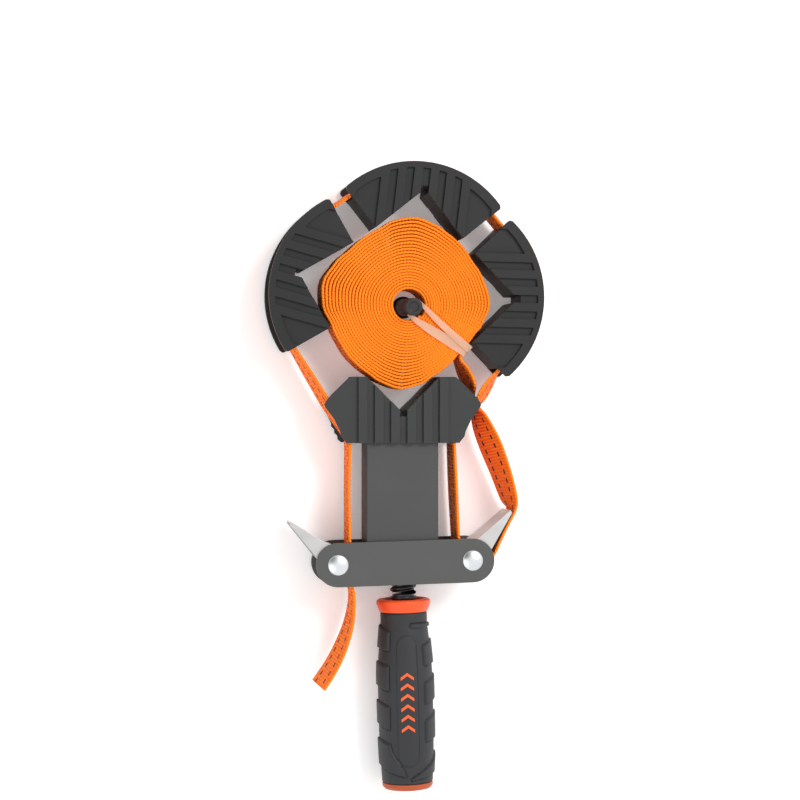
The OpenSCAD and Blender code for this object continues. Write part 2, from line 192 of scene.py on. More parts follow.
def brushed(name, color, roughness, stretch, depth):
    """Bare steel with rolling or drawing marks along one direction."""
    mat, tree, shader = new_material(name, color, roughness, metallic=1.0)
    place = add_node(tree, "ShaderNodeTexCoord").outputs["Object"]
    turn = add_node(tree, "ShaderNodeMapping")
    turn.inputs["Scale"].default_value = stretch
    marks = add_node(tree, "ShaderNodeTexNoise", Scale=60.0, Detail=5.0)
    haze = add_node(tree, "ShaderNodeTexNoise", Scale=90.0, Detail=3.0)
    tree.links.new(place, turn.inputs["Vector"])
    tree.links.new(turn.outputs["Vector"], marks.inputs["Vector"])
    tree.links.new(place, haze.inputs["Vector"])
    rough = math_node(tree, "ADD", roughness - 0.12, math_node(
        tree, "MULTIPLY", haze.outputs["Fac"], 0.26))
    ramp = add_node(tree, "ShaderNodeMix", data_type="RGBA")
    ramp.inputs["A"].default_value = (*[c * 0.78 for c in color], 1)
    ramp.inputs["B"].default_value = (*color, 1)
    bump = add_node(tree, "ShaderNodeBump", Strength=0.3, Distance=depth)
    tree.links.new(marks.outputs["Fac"], ramp.inputs["Factor"])
    tree.links.new(ramp.outputs["Result"], shader.inputs["Base Color"])
    tree.links.new(rough, shader.inputs["Roughness"])
    tree.links.new(marks.outputs["Fac"], bump.inputs["Height"])
    tree.links.new(bump.outputs["Normal"], shader.inputs["Normal"])
    return mat


def webbing_face():
    """Cross ribs, warp lines and two dashed black tracers on the band's faces."""
    mat, tree, shader = new_material(
        "webbing", ORANGE, 0.7, Specular_IOR_Level=0.2)
    uv = add_node(tree, "ShaderNodeUVMap", uv_map="weave")
    parts = add_node(tree, "ShaderNodeSeparateXYZ")
    tree.links.new(uv.outputs["UV"], parts.inputs["Vector"])
    along, side = parts.outputs["X"], parts.outputs["Y"]
    # Ribs bow a little across the width.
    bow = math_node(tree, "MULTIPLY", math_node(
        tree, "SINE", math_node(tree, "MULTIPLY", side, 44.0)), 0.10)
    rib = math_node(tree, "SINE", math_node(
        tree, "MULTIPLY", math_node(tree, "ADD", along, bow), 2 * math.pi / 1.8))
    warp = math_node(tree, "SINE", math_node(tree, "MULTIPLY", side, 150.0))
    height = math_node(tree, "ADD", rib, math_node(
        tree, "MULTIPLY", warp, 0.35))
    bump = add_node(tree, "ShaderNodeBump", Strength=0.75, Distance=0.00025)
    tree.links.new(height, bump.inputs["Height"])
    tree.links.new(bump.outputs["Normal"], shader.inputs["Normal"])
    noise = add_node(tree, "ShaderNodeTexNoise", Scale=260.0, Detail=3.0)
    tree.links.new(add_node(tree, "ShaderNodeTexCoord").outputs["Object"],
                   noise.inputs["Vector"])
    # Painted shade: the rib term darkens the rib troughs toward the shaded orange,
    # while the noise term mottles the tone at random.
    shade = math_node(tree, "ADD", math_node(
        tree, "MULTIPLY", rib, 0.30), math_node(
            tree, "MULTIPLY", noise.outputs["Fac"], 0.9), clamp=True)
    cloth = add_node(tree, "ShaderNodeMix", data_type="RGBA")
    cloth.inputs["A"].default_value = (*ORANGE_SHADE_AND_MOTTLE, 1)
    cloth.inputs["B"].default_value = (*ORANGE, 1)
    tree.links.new(shade, cloth.inputs["Factor"])
    # Two tracers, their dashes half a step apart.
    tracers = None
    for centre, shift in ((0.25, 0.0), (0.74, 2.5)):
        line = math_node(tree, "LESS_THAN", math_node(
            tree, "ABSOLUTE", math_node(tree, "SUBTRACT", side, centre)), 0.034)
        step = math_node(tree, "FRACT", math_node(
            tree, "MULTIPLY", math_node(tree, "ADD", along, shift), 1 / 5.2))
        dash = math_node(tree, "MULTIPLY", line,
                         math_node(tree, "LESS_THAN", step, 0.52))
        tracers = dash if tracers is None else math_node(
            tree, "ADD", tracers, dash, clamp=True)
    marked = add_node(tree, "ShaderNodeMix", data_type="RGBA")
    marked.inputs["B"].default_value = (0.012, 0.010, 0.010, 1)
    tree.links.new(tracers, marked.inputs["Factor"])
    tree.links.new(cloth.outputs["Result"], marked.inputs["A"])
    tree.links.new(marked.outputs["Result"], shader.inputs["Base Color"])
    return mat


def webbing_edge():
    """The band's braided selvedge: stitches with dark gaps between them."""
    mat, tree, shader = new_material(
        "webbing_edge", ORANGE, 0.7, Specular_IOR_Level=0.2)
    uv = add_node(tree, "ShaderNodeUVMap", uv_map="weave")
    parts = add_node(tree, "ShaderNodeSeparateXYZ")
    tree.links.new(uv.outputs["UV"], parts.inputs["Vector"])
    along, side = parts.outputs["X"], parts.outputs["Y"]
    slant = math_node(tree, "ADD", along, math_node(
        tree, "MULTIPLY", side, 0.9))
    wave = math_node(tree, "SINE", math_node(
        tree, "MULTIPLY", slant, 2 * math.pi / 1.9))
    rim = math_node(tree, "MULTIPLY", math_node(
        tree, "ABSOLUTE", math_node(tree, "SUBTRACT", side, 0.5)), 2.0)
    gap = math_node(tree, "MULTIPLY", math_node(
        tree, "GREATER_THAN", wave, 0.35),
        math_node(tree, "GREATER_THAN", rim, 0.42))
    mix = add_node(tree, "ShaderNodeMix", data_type="RGBA")
    mix.inputs["A"].default_value = (1.0, 0.245, 0.010, 1)
    mix.inputs["B"].default_value = (0.66, 0.090, 0.004, 1)
    tree.links.new(gap, mix.inputs["Factor"])
    tree.links.new(mix.outputs["Result"], shader.inputs["Base Color"])
    bump = add_node(tree, "ShaderNodeBump", Strength=0.7, Distance=0.0003)
    tree.links.new(wave, bump.inputs["Height"])
    tree.links.new(bump.outputs["Normal"], shader.inputs["Normal"])
    return mat


def elastic_rubber():
    """Thin pale rubber, faintly clouded and pitted."""
    mat, tree, shader = new_material(
        "pale_elastic", (0.95, 0.62, 0.42), 0.38, Transmission_Weight=0.35,
        IOR=1.2, Alpha=0.82, Subsurface_Weight=0.3)
    place = add_node(tree, "ShaderNodeTexCoord").outputs["Object"]
    cloud = add_node(tree, "ShaderNodeTexNoise", Scale=180.0, Detail=3.0)
    tree.links.new(place, cloud.inputs["Vector"])
    tint = add_node(tree, "ShaderNodeMix", data_type="RGBA")
    tint.inputs["A"].default_value = (0.95, 0.56, 0.34, 1)
    tint.inputs["B"].default_value = (0.97, 0.70, 0.50, 1)
    bump = add_node(tree, "ShaderNodeBump", Strength=0.4, Distance=0.00004)
    tree.links.new(cloud.outputs["Fac"], tint.inputs["Factor"])
    tree.links.new(tint.outputs["Result"], shader.inputs["Base Color"])
    tree.links.new(cloud.outputs["Fac"], bump.inputs["Height"])
    tree.links.new(bump.outputs["Normal"], shader.inputs["Normal"])
    return mat


# ---- mesh helpers ----

def finish_mesh(name, bm, materials, body=None, sharp=32):
    """Turns a bmesh in millimetres into a piece that rides on a body."""
    bmesh.ops.scale(bm, vec=(MM, MM, MM), verts=bm.verts)
    for face in bm.faces:
        face.smooth = True
    limit = math.radians(sharp)
    for edge in bm.edges:
        if len(edge.link_faces) == 2:
            edge.smooth = edge.calc_face_angle(0) < limit
    mesh = bpy.data.meshes.new(name)
    bm.to_mesh(mesh)
    bm.free()
    for mat in materials:
        mesh.materials.append(mat)
    piece = bpy.data.objects.new(name, mesh)
    bpy.context.scene.collection.objects.link(piece)
    if body:
        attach(piece, body)
    return piece


def softened(node, material, width=0.5):
    """A CAD node's shape with its edges rounded as moulding or tumbling does."""
    bm = bmesh.new()
    bm.from_mesh(frame["nodes"][node].data)
    bmesh.ops.scale(bm, vec=(1 / MM,) * 3, verts=bm.verts)
    bmesh.ops.remove_doubles(bm, verts=bm.verts, dist=0.002)
    bmesh.ops.dissolve_limit(
        bm, angle_limit=math.radians(0.6), verts=bm.verts, edges=bm.edges)
    edges = [e for e in bm.edges if len(e.link_faces) == 2
             and e.calc_face_angle(0) > SHARP_EDGE]
    bmesh.ops.bevel(
        bm, geom=edges, offset=width, offset_type="OFFSET", segments=2,
        profile=0.5, affect="EDGES", clamp_overlap=True, material=-1,
        harden_normals=False)
    piece = finish_mesh("soft_" + node, bm, [material], BODY[node], 50)
    even = piece.modifiers.new("flat_faces", "WEIGHTED_NORMAL")
    even.weight = 90
    even.keep_sharp = True
    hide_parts(node)
    return piece


def smooth_through(points, steps):
    """Catmull-Rom stations through a few given ones."""
    out = []
    last = len(points) - 1
    for i in range(last):
        a, b = points[max(i - 1, 0)], points[i]
        c, d = points[i + 1], points[min(i + 2, last)]
        for k in range(steps):
            t = k / steps
            out.append(tuple(
                0.5 * (2 * q + (r - p) * t
                       + (2 * p - 5 * q + 4 * r - s) * t * t
                       + (3 * q - p - 3 * r + s) * t ** 3)
                for p, q, r, s in zip(a, b, c, d)))
    out.append(tuple(points[-1]))
    return out


def arc(centre, radius, start, end, lean_in=0.0, lean_out=0.0):
    """Stations along an arc, leaning only close to its two ends."""
    count = max(2, math.ceil(abs(end - start) / 3.0))
    out = []
    for i in range(count + 1):
        a = math.radians(start + (end - start) * i / count)
        lean = (lean_in * max(0, 1 - i / 3)
                + lean_out * max(0, 1 - (count - i) / 3))
        out.append((centre[0] + radius * math.cos(a),
                    centre[1] + radius * math.sin(a), MID_Z, lean, BAND_W))
    return out


def web(name, stations, thickness):
    """A band swept along stations (x, y, z, lean in degrees, width)."""
    bm = bmesh.new()
    weave = bm.loops.layers.uv.new("weave")
    h = thickness / 2
    rings, distances = [], []
    travelled = 0.0
    count = len(stations)
    for i, (x, y, z, lean, width) in enumerate(stations):
        p, q = stations[max(i - 1, 0)], stations[min(i + 1, count - 1)]
        heading = math.atan2(q[1] - p[1], q[0] - p[0])
        if i:
            travelled += math.hypot(x - stations[i - 1][0],
                                    y - stations[i - 1][1])
        distances.append(travelled)
        tilt = math.radians(lean)
        left = Vector((-math.sin(heading), math.cos(heading), 0))
        across = left * math.sin(tilt) + Vector((0, 0, math.cos(tilt)))
        through = left * math.cos(tilt) - Vector((0, 0, math.sin(tilt)))
        fold = h * (BAND_W / width) ** 0.6
        half, r = width / 2, 0.35
        profile = [(half - r, fold), (half, 0.6 * fold), (half, -0.6 * fold),
                   (half - r, -fold), (half / 3, -fold), (-half / 3, -fold),
                   (r - half, -fold), (-half, -0.6 * fold),
                   (-half, 0.6 * fold), (r - half, fold), (-half / 3, fold),
                   (half / 3, fold)]
        centre = Vector((x, y, z))
        rings.append([bm.verts.new(centre + across * a + through * b)
                      for a, b in profile])
    edge_side = {0: (0, 0.33), 1: (0.33, 0.67), 2: (0.67, 1),
                 6: (0, 0.33), 7: (0.33, 0.67), 8: (0.67, 1)}
    face_side = {3: (1, 0.67), 4: (0.67, 0.33), 5: (0.33, 0),
                 9: (0, 0.33), 10: (0.33, 0.67), 11: (0.67, 1)}
    for i in range(count - 1):
        for k in range(12):
            n = (k + 1) % 12
            face = bm.faces.new((rings[i][k], rings[i][n],
                                 rings[i + 1][n], rings[i + 1][k]))
            is_edge = k in edge_side
            face.material_index = 1 if is_edge else 0
            v0, v1 = edge_side[k] if is_edge else face_side[k]
            spots = ((distances[i], v0), (distances[i], v1),
                     (distances[i + 1], v1), (distances[i + 1], v0))
            for loop, spot in zip(face.loops, spots):
                loop[weave].uv = spot
    for ring in (rings[0][::-1], rings[-1]):
        cap = bm.faces.new(ring)
        cap.material_index = 1
    bmesh.ops.recalc_face_normals(bm, faces=bm.faces)
    piece = finish_mesh(name, bm, [WEBBING, WEBBING_EDGE], None, 60)
    return piece, travelled


# ---- places ----

def crossbar_place(x, y):
    """A point of the yawed crossbar, in the row's own axes."""
    dx, dy = x, y - SEAT_Y
    c, s = math.cos(SCREW_YAW), math.sin(SCREW_YAW)
    return dx * c - dy * s, SEAT_Y + dx * s + dy * c


def screw_frame():
    """Local +Z runs from the crossbar to the handle, local +Y is up."""
    return (Matrix.Translation((0, SEAT_Y, 0))
            @ Matrix.Rotation(SCREW_YAW, 4, "Z")
            @ Matrix.Translation((0, -SEAT_Y, MID_Z))
            @ Matrix.Rotation(math.pi / 2, 4, "X"))


def arc_centre(jaw):
    tip, direction = JAWS[jaw]
    a = math.radians(direction)
    return (tip[0] - JAW_BACK * math.cos(a), tip[1] - JAW_BACK * math.sin(a))


def out_angle(a, b):
    return (math.degrees(math.atan2(b[1] - a[1], b[0] - a[0])) + 270) % 360


def roll_radius(direction):
    """The roll's outline, from listed directions and radii."""
    d = direction % 360
    for (d0, r0), (d1, r1) in zip(ROLL_SHAPE, ROLL_SHAPE[1:]):
        if d0 <= d <= d1:
            t = (d - d0) / (d1 - d0)
            return r0 + (r1 - r0) * (t * t * (3 - 2 * t))
    return ROLL_SHAPE[0][1]


# ---- pieces of webbing ----

def tail_stations():
    """The free end, from its cut edge up to the left cam."""
    placed = [(-48.8, -68, -1.0, -11), (-41.8, -58, -0.8, -10),
              (-36, -47, -0.4, -8), (-31.8, -36, 0, -5), (-29.6, -26, 0, -2),
              (-29, -18, 0, 0), (-29.9, -11.5, 0, 0), (-RUN_X, -7, 0, 0),
              (-RUN_X, 12, 0, 0)]
    points = []
    for x, y, dz, lean in placed:
        px, py = crossbar_place(x, y)
        points.append((px, py, MID_Z + dz, lean, BAND_W))
    return smooth_through(points, 5)


def head_left_stations():
    return smooth_through([
        (-29.4, 13, MID_Z, 0, BAND_W), (-29.7, 40, MID_Z, 1, BAND_W),
        (-29.3, HEAD_LOW, MID_Z, 0, BAND_W), (-29.5, 68.4, MID_Z, 0, BAND_W),
        (-31.3, 71.4, MID_Z, -1, BAND_W), (-38.4, 82.2, MID_Z, -3, BAND_W),
        (-43.2, 91, MID_Z, -6, BAND_W), (-51, 104, MID_Z, -5, BAND_W)], 5)


def jaw_arc_stations():
    left, top, right = map(arc_centre, ("jaw_left", "jaw_top", "jaw_right"))
    left_top = out_angle(top, left)
    top_right = out_angle(right, top)
    return (arc(left, BAND_R, 211, left_top, -1, -4)
            + arc(top, BAND_R, left_top, top_right, -4, 0)
            + arc(right, BAND_R, top_right, -36, 0, -6))


def head_right_stations():
    """From the right jaw, twisting over the loose loop, into the head."""
    return smooth_through([
        (55.6, 106, MID_Z + 0.4, -10, 24.6), (50, 98, MID_Z + 1.6, -19, 23),
        (45.4, 91.6, MID_Z + 4.2, -21, 17), (41.6, 87, MID_Z + 6.4, -8, 12),
        (38.2, 82, MID_Z + 5.4, 0, 14), (34.4, 76.2, MID_Z + 1.4, 0, 22),
        (31.2, 71.4, MID_Z, 0, BAND_W), (29.4, 68.2, MID_Z, 0, BAND_W),
        (29.3, HEAD_LOW, MID_Z, 0, BAND_W), (30.4, 40, MID_Z, 1, BAND_W),
        (31.7, 14, MID_Z, 0, BAND_W)], 6)


def return_stations():
    """Round the right cam and out of the crossbar's end."""
    turn = [(RUN_X, 12), (RUN_X, 4)]
    for i in range(13):
        a = math.radians(180 + 138 * i / 12)
        reach = RIVET_X - RUN_X
        turn.append((RIVET_X + reach * math.cos(a), reach * math.sin(a)))
    turn += [(47.8, -1.4), (51.6, 5.0)]
    out = []
    for x, y in turn:
        px, py = crossbar_place(x, y)
        out.append((px, py, MID_Z, 0.0, BAND_W))
    return out


def loop_stations():
    """Outside the right lever, under the working band and on to the roll."""
    end = math.radians(-41)
    reach = roll_radius(-41) - 0.8
    return smooth_through([
        (56.4, 12.2, MID_Z, 3, BAND_W), (60.4, 20.4, MID_Z, 3, BAND_W),
        (63.8, 28.4, MID_Z, 0, BAND_W), (62.4, 35, MID_Z, -11, BAND_W),
        (57.6, 50, MID_Z, -17, BAND_W), (51.8, 65, MID_Z, -20, BAND_W),
        (47.4, 75.6, MID_Z - 0.3, -16, 24.4), (45.6, 81.4, MID_Z - 2, -13, 20),
        (44.2, 85.6, MID_Z - 5, -7, 14), (42.9, 89.2, MID_Z - 6.8, 0, 11),
        (41.7, 93, MID_Z - 5.4, -2, 14), (40.2, 98, MID_Z - 1, -6, 23),
        (37.8, 103.6, MID_Z, -8, BAND_W),
        (35.2, 109, MID_Z, -5, BAND_W), (33.2, 112.8, MID_Z, 0, BAND_W),
        (ROLL[0] + reach * math.cos(end), ROLL[1] + reach * math.sin(end),
         MID_Z, 0, BAND_W)], 6)


def working_band():
    """One length of webbing from the free end round the jaws to the roll."""
    stations = (tail_stations() + head_left_stations() + jaw_arc_stations()
                + head_right_stations() + return_stations() + loop_stations())
    piece, length = web("working_band", stations, BAND_T)
    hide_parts("band_round_jaws", "band_run_left", "band_run_right",
                "band_tail", "band_return", "band_loop")
    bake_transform(piece)
    return length


def band_roll():
    """The rest of the webbing, wound inwards and squeezed by the notches."""
    per_turn = 76
    total = ROLL_TURNS * per_turn
    mean = 44.8
    eye_shift = (1.6, -0.8)
    thickness = 1.48
    stations = []
    for i in range(total + 1):
        share = 1 - i / total
        direction = -41 + 360 * i / per_turn
        a = math.radians(direction)
        squeeze = share ** 2.4 * (roll_radius(direction) - mean)
        wander = 0.16 * math.sin(3 * a + 17 * share) * share * (1 - share)
        reach = EYE_R + share * (mean - 0.8 - EYE_R) + squeeze + wander
        z = MID_Z + 0.35 * math.sin(5.1 * share * ROLL_TURNS) * (1 - share * share)
        stations.append((ROLL[0] + eye_shift[0] * (1 - share) + reach * math.cos(a),
                         ROLL[1] + eye_shift[1] * (1 - share) + reach * math.sin(a),
                         z, 0.0, BAND_W))
    piece, length = web("band_roll_wound", stations, thickness)
    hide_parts("band_roll")
    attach(piece, "frame")
    return length


# ---- screw and handle ----

def threaded_spindle():
    """A true helical ridge on the spindle's core."""
    core, crest = 6.1, 7.45
    turns = 18
    low = HANDLE_TOP - 1.6
    top = low - turns * PITCH
    steps = 40
    bm = bmesh.new()
    ridge = [(core, 0), (core, 0.9), (crest - 0.25, 1.7), (crest, 2.0),
             (crest, 2.6), (crest - 0.25, 2.9), (core, 3.7), (core, PITCH)]
    verts = [bm.verts.new((r, 0, top + z)) for r, z in ridge]
    edges = [bm.edges.new(pair) for pair in zip(verts, verts[1:])]
    bmesh.ops.spin(
        bm, geom=verts + edges, cent=(0, 0, 0), axis=(0, 0, 1),
        dvec=(0, 0, PITCH / steps), angle=2 * math.pi * (turns - 1),
        steps=steps * (turns - 1), use_merge=False, use_duplicate=False)
    bmesh.ops.remove_doubles(bm, verts=bm.verts, dist=0.002)
    for z0, z1, radius in ((-SEAT_Y + 0.08, top + 2, 4.0),
                           (top - 1.2, top + 3.0, core),
                           (low - 1.0, HANDLE_TOP + 3, core)):
        rod = bmesh.ops.create_cone(
            bm, cap_ends=True, segments=48, radius1=radius, radius2=radius,
            depth=z1 - z0)["verts"]
        bmesh.ops.translate(bm, vec=(0, 0, (z0 + z1) / 2), verts=rod)
    bmesh.ops.recalc_face_normals(bm, faces=bm.faces)
    bm.transform(screw_frame())
    piece = finish_mesh("spindle_thread", bm, [BLACK_SCREW], "screw",
                        40)
    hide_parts("spindle")


GRIP_PROFILE = [(7.2, 13.1), (14.4, 13.2), (24, 14.1), (38, 15.2), (50, 15.4),
                (62, 15.4), (74, 15.3), (86, 15.1), (95, 14.6), (102.6, 14.3)]
# Pads: (top and bottom at the side, top and bottom at the inner edge)
LEFT_PADS = [(13.6, 26.7, 18, 28.1), (33.9, 47.4, 36.8, 50.2),
             (55.4, 68.7, 59.4, 72), (76.7, 91.6, 80.4, 98.4)]
RIGHT_PADS = [(22.3, 35.7, 25.6, 36.8), (41.9, 55.4, 46.6, 58.2),
              (62.4, 77.4, 67.4, 79.2), (85, 96.6, 99.4, 100.4)]


def ease(t):
    t = min(max(t, 0.0), 1.0)
    return t * t * (3 - 2 * t)


def grip_relief(angle, s):
    """Height of the pads and the label panel at an angle from the top."""
    front = abs(angle) if abs(angle) <= 90 else 180 - abs(angle)
    pads, inner = (LEFT_PADS, 45) if angle < 0 else (RIGHT_PADS, 38)
    nearest = -9.0
    for i, (top, low, top_in, low_in) in enumerate(pads):
        edge = inner - (36 * ease((s - 80) / 20) if i == 3 else 0)
        t = min(max((front - edge) / (92 - edge), 0), 1)
        gap = min(s - top_in - (top - top_in) * t,
                  low_in + (low - low_in) * t - s, (front - edge) * PER_DEGREE)
        nearest = max(nearest, gap)
    if 0 < angle <= 90:
        nearest = max(nearest, min(s - 13.4, 15.6 - s, (front - 8) * PER_DEGREE))
    relief = 1.0 * ease(nearest / 0.5 + 0.3)
    relief -= 0.45 * (1 - ease(abs(nearest + 0.45) / 0.4))
    centred = ((angle + LABEL_TURN + 180) % 360) - 180
    centred = abs(centred) if abs(centred) <= 90 else 180 - abs(centred)
    beyond = max(25.6 - s, s - 86.6, 0)
    panel = math.hypot(centred * PER_DEGREE, beyond) - 6.0
    relief -= 0.5 * (1 - ease(abs(panel) / 0.5))
    relief -= 0.22 * (1 - ease(abs(panel - 1.1) / 0.4))
    if panel < 0:
        relief += 0.15
    return relief


def grip():
    """Soft sleeve with raised pads and a sunk outline round its label panel."""
    bm = bmesh.new()
    rows = []
    s = GRIP_PROFILE[0][0]
    while s <= GRIP_PROFILE[-1][0]:
        rows.append(s)
        s += 0.36
    coarse = smooth_through(GRIP_PROFILE, 12)
    profile = [(10.0, GRIP_PROFILE[0][0])]
    for s in rows:
        near = max(i for i, q in enumerate(coarse) if q[0] <= s + 1e-6)
        after = coarse[min(near + 1, len(coarse) - 1)]
        here = coarse[near]
        span = max(after[0] - here[0], 1e-6)
        t = min((s - here[0]) / span, 1)
        radius = here[1] + (after[1] - here[1]) * t
        radius -= 0.5 * (1 - ease((s - rows[0]) / 0.8))
        radius -= 0.6 * (1 - ease((rows[-1] - s) / 0.9))
        profile.append((radius, s))
    profile.append((10.0, rows[-1]))
    verts = [bm.verts.new((0, r, s + HANDLE_TOP)) for r, s in profile]
    edges = [bm.edges.new(pair) for pair in zip(verts, verts[1:])]
    bmesh.ops.spin(
        bm, geom=verts + edges, cent=(0, 0, 0), axis=(0, 0, 1),
        dvec=(0, 0, 0), angle=2 * math.pi, steps=250, use_merge=True,
        use_duplicate=False)
    for v in bm.verts:
        radius = math.hypot(v.co.x, v.co.y)
        if radius < 11.5:
            continue
        lift = grip_relief(math.degrees(math.atan2(v.co.x, v.co.y)),
                           v.co.z - HANDLE_TOP)
        v.co.x *= (radius + lift) / radius
        v.co.y *= (radius + lift) / radius
    bmesh.ops.recalc_face_normals(bm, faces=bm.faces)
    bm.transform(screw_frame())
    piece = finish_mesh("grip_with_pads", bm, [GRIP], "screw", 70)
    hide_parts("grip_sleeve")


def panel_chevrons():
    """A plain row of chevrons printed on the grip's label panel."""
    coarse = smooth_through(GRIP_PROFILE, 12)
    bm = bmesh.new()
    for i in range(6):
        rings = []
        for k in range(-8, 9):
            across, drop = 3.7 * k / 8, 2.6 * abs(k) / 8
            ring = []
            for along, lift in ((0, -0.2), (0, 0.26), (1.7, 0.26), (1.7, -0.2)):
                s = 40 + 5.8 * i + drop + along
                radius = min(coarse, key=lambda q: abs(q[0] - s))[1] + lift
                a = across / radius - math.radians(LABEL_TURN)
                ring.append(bm.verts.new((
                    radius * math.sin(a), radius * math.cos(a),
                    HANDLE_TOP + s)))
            rings.append(ring)
        for p, q in zip(rings, rings[1:]):
            for j in range(4):
                bm.faces.new((p[j], p[(j + 1) % 4], q[(j + 1) % 4], q[j]))
        bm.faces.new(rings[0])
        bm.faces.new(rings[-1])
    bmesh.ops.recalc_face_normals(bm, faces=bm.faces)
    bm.transform(screw_frame())
    finish_mesh("panel_chevrons", bm, [PRINT], "screw")


# ---- small pieces ----

def domed_rivets():
    """Upset heads with a low dome and a soft shoulder."""
    for node, x in (("rivet_left", -RIVET_X), ("rivet_right", RIVET_X)):
        bm = bmesh.new()
        outline = [(0, 16.5), (1.6, 16.42), (3.1, 16.15), (4.4, 15.75),
                   (5.2, 15.4), (5.62, 15.1), (5.75, 14.85), (5.62, 14.77),
                   (3.0, 14.76), (3.0, 0)]
        verts = [bm.verts.new((r, 0, z)) for r, z in outline]
        edges = [bm.edges.new(pair) for pair in zip(verts, verts[1:])]
        bmesh.ops.spin(
            bm, geom=verts + edges, cent=(0, 0, 0), axis=(0, 0, 1),
            dvec=(0, 0, 0), angle=2 * math.pi, steps=64, use_merge=True,
            use_duplicate=False)
        bmesh.ops.mirror(bm, geom=bm.verts[:] + bm.edges[:] + bm.faces[:],
                         axis="Z", merge_dist=0.001)
        bmesh.ops.remove_doubles(bm, verts=bm.verts, dist=0.001)
        bmesh.ops.recalc_face_normals(bm, faces=bm.faces)
        px, py = crossbar_place(x, 0)
        bmesh.ops.translate(bm, vec=(px, py, MID_Z), verts=bm.verts)
        piece = finish_mesh("domed_" + node, bm, [ZINC], "crossbar", 50)
        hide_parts(node)


def coil_spring(node, body, x):
    """A close-wound torsion spring round the rivet."""
    wire, reach, turns, steps = 0.55, 4.2, 6, 32
    px, py = crossbar_place(x, 0)
    bm = bmesh.new()
    ring = bmesh.ops.create_circle(bm, segments=10, radius=wire)["verts"]
    bmesh.ops.rotate(bm, verts=ring, cent=(0, 0, 0),
                     matrix=Matrix.Rotation(math.pi / 2, 3, "X"))
    bmesh.ops.translate(bm, verts=ring, vec=(reach, 0, -turns * 0.58))
    edges = bm.edges[:]
    bmesh.ops.spin(
        bm, geom=ring + edges, cent=(0, 0, 0), axis=(0, 0, 1),
        dvec=(0, 0, 1.16 / steps), angle=2 * math.pi * turns,
        steps=steps * turns, use_merge=False, use_duplicate=False)
    bmesh.ops.holes_fill(bm, edges=[e for e in bm.edges if e.is_boundary])
    bmesh.ops.recalc_face_normals(bm, faces=bm.faces)
    bmesh.ops.translate(bm, vec=(px, py, MID_Z), verts=bm.verts)
    piece = finish_mesh("coil_" + node, bm, [SPRING], body, 60)
    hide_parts(node)


def elastic_band():
    """Two strands from the peg's neck, flattening as they pass the rim."""
    reach = 43.9
    upper = [(4.4, 5.5, 31.0, 1.6), (10, 5.0, 30.7, 2.4), (20, 4.1, 30.3, 3.4),
             (32, 3.5, 30.0, 4.0), (reach - 1.4, 3.3, 29.9, 4.2),
             (reach - 0.1, 3.2, 29.2, 4.2), (reach + 0.1, 3.1, 27.6, 4.0),
             (reach + 0.1, 2.6, 16, 3.6), (reach, 2.4, 3.4, 3.4),
             (reach - 1.6, 2.2, 1.9, 3.2), (24, 2.0, 1.8, 3.0),
             (9.5, 1.9, 1.8, 3.0)]
    lower = [(4.4, -3.8, 30.6, 1.8), (10, -3.5, 30.2, 3.0),
             (20, -2.3, 29.8, 4.8), (32, -0.6, 29.55, 5.4),
             (reach - 1.6, 0.4, 29.4, 4.8), (reach - 0.4, 0.6, 28.8, 4.2),
             (reach - 0.25, 0.7, 27.4, 4.0), (reach - 0.25, 1.0, 16, 3.6),
             (reach - 0.4, 1.2, 3.9, 3.4), (reach - 1.8, 1.3, 2.5, 3.2),
             (24, 1.4, 2.4, 3.0), (9.5, 1.5, 2.4, 3.0)]
    bm = bmesh.new()
    for strand in (upper, lower):
        strand = smooth_through(strand, 6)
        previous = None
        for i, (x, y, z, width) in enumerate(strand):
            a, b = strand[max(i - 1, 0)], strand[min(i + 1, len(strand) - 1)]
            along = Vector(b[:3]) - Vector(a[:3])
            along.normalize()
            side = Vector((0, 1, 0))
            side = (side - along * side.dot(along)).normalized()
            up = side.cross(along)
            here = Vector((x, y, z))
            w, t = width / 2, 0.22
            ring = [bm.verts.new(here + side * p + up * q) for p, q in (
                (-w, -t), (w, -t), (w, t), (-w, t))]
            if previous:
                for k in range(4):
                    bm.faces.new((previous[k], previous[(k + 1) % 4],
                                  ring[(k + 1) % 4], ring[k]))
            else:
                bm.faces.new(ring)
            previous = ring
        bm.faces.new(previous)
    bmesh.ops.recalc_face_normals(bm, faces=bm.faces)
    bm.transform(Matrix.Translation((ROLL[0], ROLL[1], 0))
                 @ Matrix.Rotation(PEG_PULL, 4, "Z"))
    piece = finish_mesh("elastic_loop", bm, [ELASTIC], "frame")
    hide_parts("retaining_band")


# ---- table, light and camera ----

def table_top():
    bm = bmesh.new()
    bmesh.ops.create_grid(bm, x_segments=1, y_segments=1, size=3.0)
    mesh = bpy.data.meshes.new("table_top")
    bm.to_mesh(mesh)
    bm.free()
    mat, _, shader = new_material("table_white", (0.93, 0.93, 0.93), 0.6)
    shader.inputs["Emission Color"].default_value = (1, 1, 1, 1)
    shader.inputs["Emission Strength"].default_value = 0.2
    mesh.materials.append(mat)
    floor = bpy.data.objects.new("table_top", mesh)
    bpy.context.scene.collection.objects.link(floor)
    floor.location.z = -0.0004


def lamp(name, place, aim, size, power):
    light = bpy.data.lights.new(name, "AREA")
    light.shape = "DISK"
    light.size = size
    light.energy = power
    obj = bpy.data.objects.new(name, light)
    bpy.context.scene.collection.objects.link(obj)
    obj.location = place
    obj.rotation_euler = (Vector(aim) - Vector(place)).to_track_quat(
        "-Z", "Y").to_euler()


